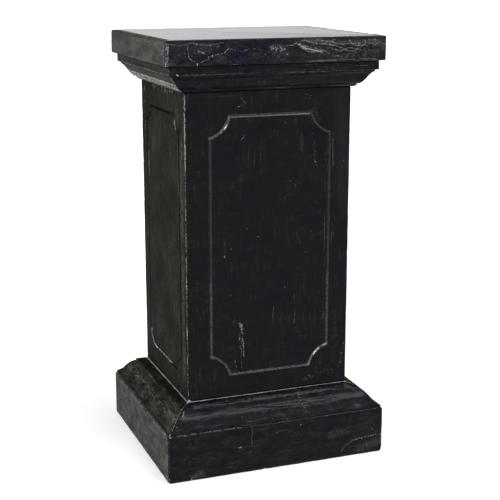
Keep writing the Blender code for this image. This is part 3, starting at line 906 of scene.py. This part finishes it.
# the four faces as panels, then the two ends as rings that shrink from the arris inwards; every point
# starts on the sharp box and is eased onto the rounded one
def buildShaft(look):
    low, high = (np.array(corner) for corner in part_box("shaft"))
    middle, half = (low + high) / 2, (high - low) / 2
    upward = np.array([0, 0, 1])
    points, faces, slots, toRim, endRing = [], [], [], [], []
    for quarter in range(4):
        wide, deep = (half[0], half[1]) if quarter % 2 == 0 else (half[1], half[0])
        turn = quarter * math.pi / 2
        across = np.array([math.cos(turn), math.sin(turn), 0])
        outward = np.array([math.sin(turn), -math.cos(turn), 0])
        sizes = (("margin", "scoop"), ("sideMargin", "sideScoop"))[quarter % 2]
        margin, scoop = (look[key] for key in sizes)
        shift = look["frontShift"] if quarter == 0 else 0
        rings, depths, rims, cut = panelFace(wide, half[2], margin, scoop, shift, look)
        grid = middle + rings[..., :1] * across + rings[..., 1:] * upward + deep * outward
        grid = easeBox(grid, half, middle, look["ease"]) - depths[:, None, None] * outward
        made = ringFaces(*rings.shape[:2])
        faces += [[corner + len(points) for corner in face] for face in made[:-2] + made[-1:]]
        side = quarter % 2
        slots += [*np.where(np.repeat(cut, rings.shape[1]), 2 + side, side).tolist(), side]
        points += grid.reshape(-1, 3).tolist()
        toRim += np.repeat(rims, rings.shape[1]).tolist()
        endRing.append(sideRun(wide, look)[:, None] * across + deep * outward)
    endRing = np.concatenate(endRing)
    for end in (-1, 1):
        insets = np.array([0, 0.35, 0.7, 1.0, 2.4]) * look["ease"]
        grid = np.array([middle + endRing * (1 - inset / np.append(half[:2], 1)) + end * half[2] * upward
                         for inset in insets])
        grid = easeBox(grid, half, middle, look["ease"])
        made = ringFaces(*grid.shape[:2])
        made = [face[::end] for face in made[:-2]] + [made[-1][::end]]
        faces += [[corner + len(points) for corner in face] for face in made]
        slots += [0] * len(made)
        points += grid.reshape(-1, 3).tolist()
        toRim += [1.0] * (len(insets) * len(endRing))
    points, toRim = np.array(points), np.array(toRim)
    # points that two faces share become one: those in the same hundredth of a millimetre
    _, first, kept = np.unique(
        np.round(points * 1e5).astype(np.int64), axis=0, return_index=True, return_inverse=True
    )
    kept = kept.ravel()
    points, toRim = points[first], toRim[first]
    faces = [kept[face].tolist() for face in faces]
    # each arris is where two of the three distances to the box's planes are nought
    offset = points - middle
    gaps = np.clip(half - np.abs(offset), 0, None)
    toUpright = np.maximum(gaps[:, 0], gaps[:, 1])
    toFoot = np.maximum(np.minimum(gaps[:, 0], gaps[:, 1]), points[:, 2] - low[2])
    toHead = np.maximum(np.minimum(gaps[:, 0], gaps[:, 1]), high[2] - points[:, 2])
    toArris = np.minimum.reduce([toUpright, toFoot, toHead])
    normal = offset - np.clip(offset, look["ease"] - half, half - look["ease"])
    normal = normal / np.maximum(np.linalg.norm(normal, axis=1, keepdims=True), 1e-7)
    nearArris = 1 - smoothStep(0, look["waveReach"], toArris)
    wave = look["wave"] * nearArris * (0.5 + 0.5 * ripple(points, look["waveLength"], look["seed"]))
    chips = chipDepth(points, toArris, look)
    worn = wornField(
        points, [toUpright, toFoot, toHead, toRim],
        [look["uprightWear"], look["footWear"], look["headWear"], look["rimWear"]], look,
    )
    points = points - normal * (np.clip(wave, 0, None) + chips)[:, None]
    materials = [*finish["shaft"], *cutMarbles]
    addPiece("shaftStone", "shaft", points, faces, np.array(slots), worn + chipWear * chips, materials)


buildShaft(shaft)

cameraLook = {
    "place": (-0.8707, -2.3435, 1.0408), "turn": -20.73, "pitch": 76.20, "lens": 83.98, "sensor": 36.0,
}


# the camera stands at its place, pitched up from straight down and then turned about the upright axis
def addCamera(look):
    lens = bpy.data.cameras.new("camera")
    lens.lens = look["lens"]
    lens.sensor_width = look["sensor"]
    camera = bpy.data.objects.new("camera", lens)
    camera.location = look["place"]
    camera.rotation_euler = (math.radians(look["pitch"]), 0, math.radians(look["turn"]))
    bpy.context.scene.collection.objects.link(camera)
    bpy.context.scene.camera = camera


addCamera(cameraLook)

# lengths are in metres and angles in degrees, with rises above the horizon; the sun lamps' power is in
# watts per square metre and the front panel's in watts
stageLook = {
    "floorSize": 80.0, "floorColour": "#f4f4f3", "floorGlow": 0.33,
    "backdrop": 1.55, "backdropTop": 3.0, "studio": 0.42, "studioFoot": 14.0,
    "key": {"turn": -41.0, "rise": 30.5, "spread": 8.0, "power": 1.15},
    "keyBeside": {"turn": -28.0, "rise": 28.5, "spread": 8.0, "power": 0.75},
    "over": {"turn": 46.0, "rise": 62.0, "spread": 36.0, "power": 1.4},
    "front": {"place": (1.6, -4.2, 1.95), "wide": 3.2, "tall": 0.7, "power": 26.0},
}


# a pale floor lit a little from below, a backdrop's glow low down all round, a dim studio above it, a
# key of two soft lamps side by side, a soft lamp over and a low panel in front
def addStage(look):
    bpy.ops.mesh.primitive_plane_add(size=look["floorSize"])
    floor = bpy.context.object
    floor.name = "floor"
    paper = bpy.data.materials.new("paleStudioFloor")
    paper.use_nodes = True
    shader = paper.node_tree.nodes["Principled BSDF"]
    shader.inputs["Base Color"].default_value = toLinear(look["floorColour"])
    shader.inputs["Roughness"].default_value = 0.9
    shader.inputs["Specular IOR Level"].default_value = 0.1
    shader.inputs["Emission Color"].default_value = (1, 1, 1, 1)
    shader.inputs["Emission Strength"].default_value = look["floorGlow"]
    floor.data.materials.append(paper)

    world = bpy.data.worlds.new("studio")
    bpy.context.scene.world = world
    world.use_nodes = True
    tree = world.node_tree
    direction = addNode(tree, "TexCoord", {}, "Generated")
    rise = addNode(tree, "SeparateXYZ", {0: direction}, "Z")
    foot, top = (math.sin(math.radians(look[name])) for name in ("backdropTop", "studioFoot"))
    strength = addNode(tree, "MapRange", {0: rise, 1: foot, 2: top, 3: look["backdrop"], 4: look["studio"]})
    tree.links.new(strength, tree.nodes["Background"].inputs["Strength"])
    tree.nodes["Background"].inputs["Color"].default_value = (1, 1, 1, 1)

    for name in ("key", "keyBeside", "over"):
        light = bpy.data.lights.new(name, "SUN")
        light.energy = look[name]["power"]
        light.angle = math.radians(look[name]["spread"])
        lamp = bpy.data.objects.new(name, light)
        lamp.rotation_euler = (math.radians(90 - look[name]["rise"]), 0, math.radians(look[name]["turn"]))
        bpy.context.scene.collection.objects.link(lamp)
    panel = bpy.data.lights.new("front", "AREA")
    panel.shape = "RECTANGLE"
    panel.size, panel.size_y = look["front"]["wide"], look["front"]["tall"]
    panel.energy = look["front"]["power"]
    lamp = bpy.data.objects.new("front", panel)
    lamp.location = look["front"]["place"]
    beside, behind, _ = look["front"]["place"]
    lamp.rotation_euler = (math.radians(90), 0, math.atan2(beside, -behind))
    bpy.context.scene.collection.objects.link(lamp)
    bpy.context.scene.view_settings.view_transform = "Standard"


addStage(stageLook)
